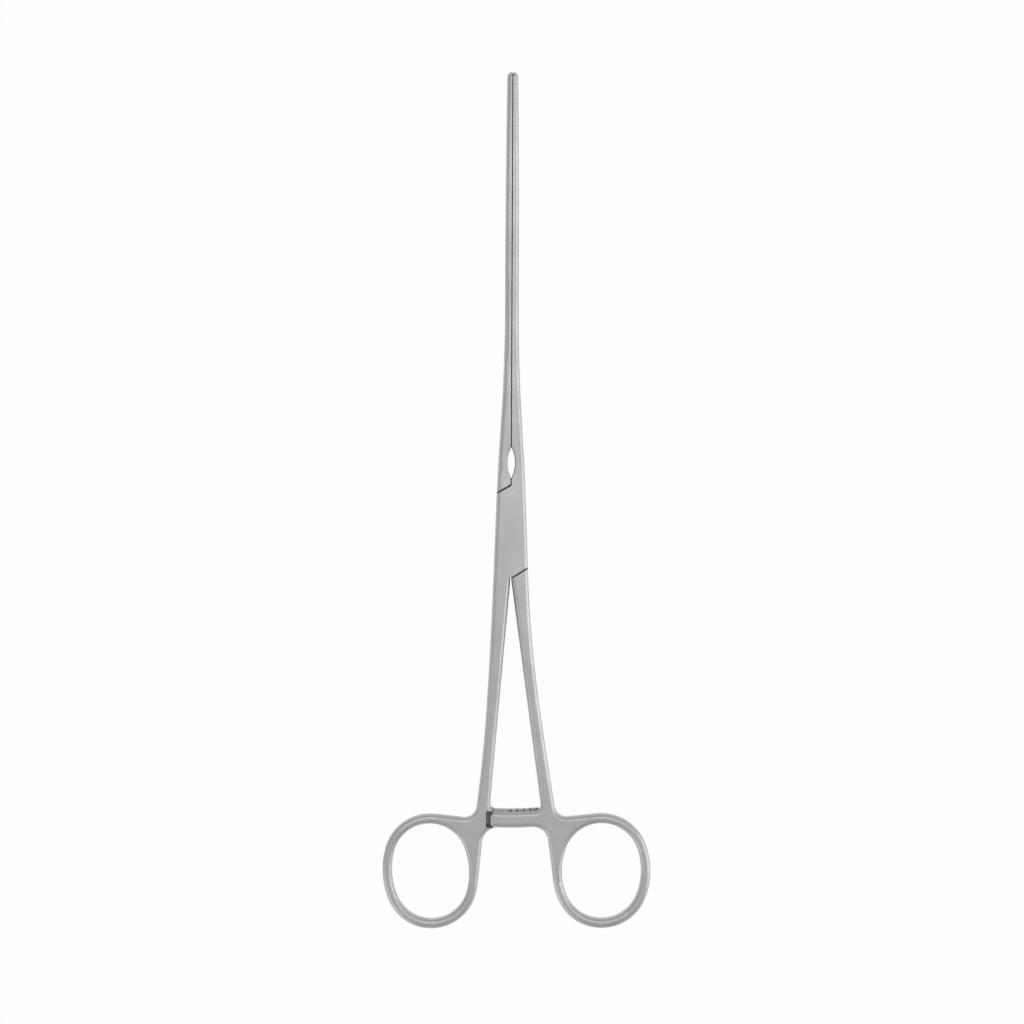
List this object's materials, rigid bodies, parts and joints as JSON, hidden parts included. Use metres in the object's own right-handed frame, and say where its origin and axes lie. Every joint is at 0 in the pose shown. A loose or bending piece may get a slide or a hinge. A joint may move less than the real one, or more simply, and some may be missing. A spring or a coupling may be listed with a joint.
{
  "type": "intestinal forceps",
  "caption": "Long straight clamp forceps with slim grooved jaws, a box lock, a toothed ratchet and finger rings, for closing the bowel.",
  "frame": {"origin": "on the pivot's axis at the back face of the box lock, on which the instrument lies", "axes": "+Y along the closed jaws to their tips, +Z out of the front face, +X towards the jaw of the box half"},
  "size_m": [0.075, 0.2399, 0.0066],
  "materials": {
    "steel": "satin"
  },
  "bodies": {
    "box_side": {"box_half": "steel", "pivot_pin": "steel"},
    "tongue_side": {"tongue_half": "steel"}
  },
  "joints": [
    {"name": "box_lock", "type": "hinge", "parent": "box_side", "child": "tongue_side", "pos_m": [0, 0, 0.0033], "axis": [0, 0, 1], "range_deg": [0, 45]}
  ]
}
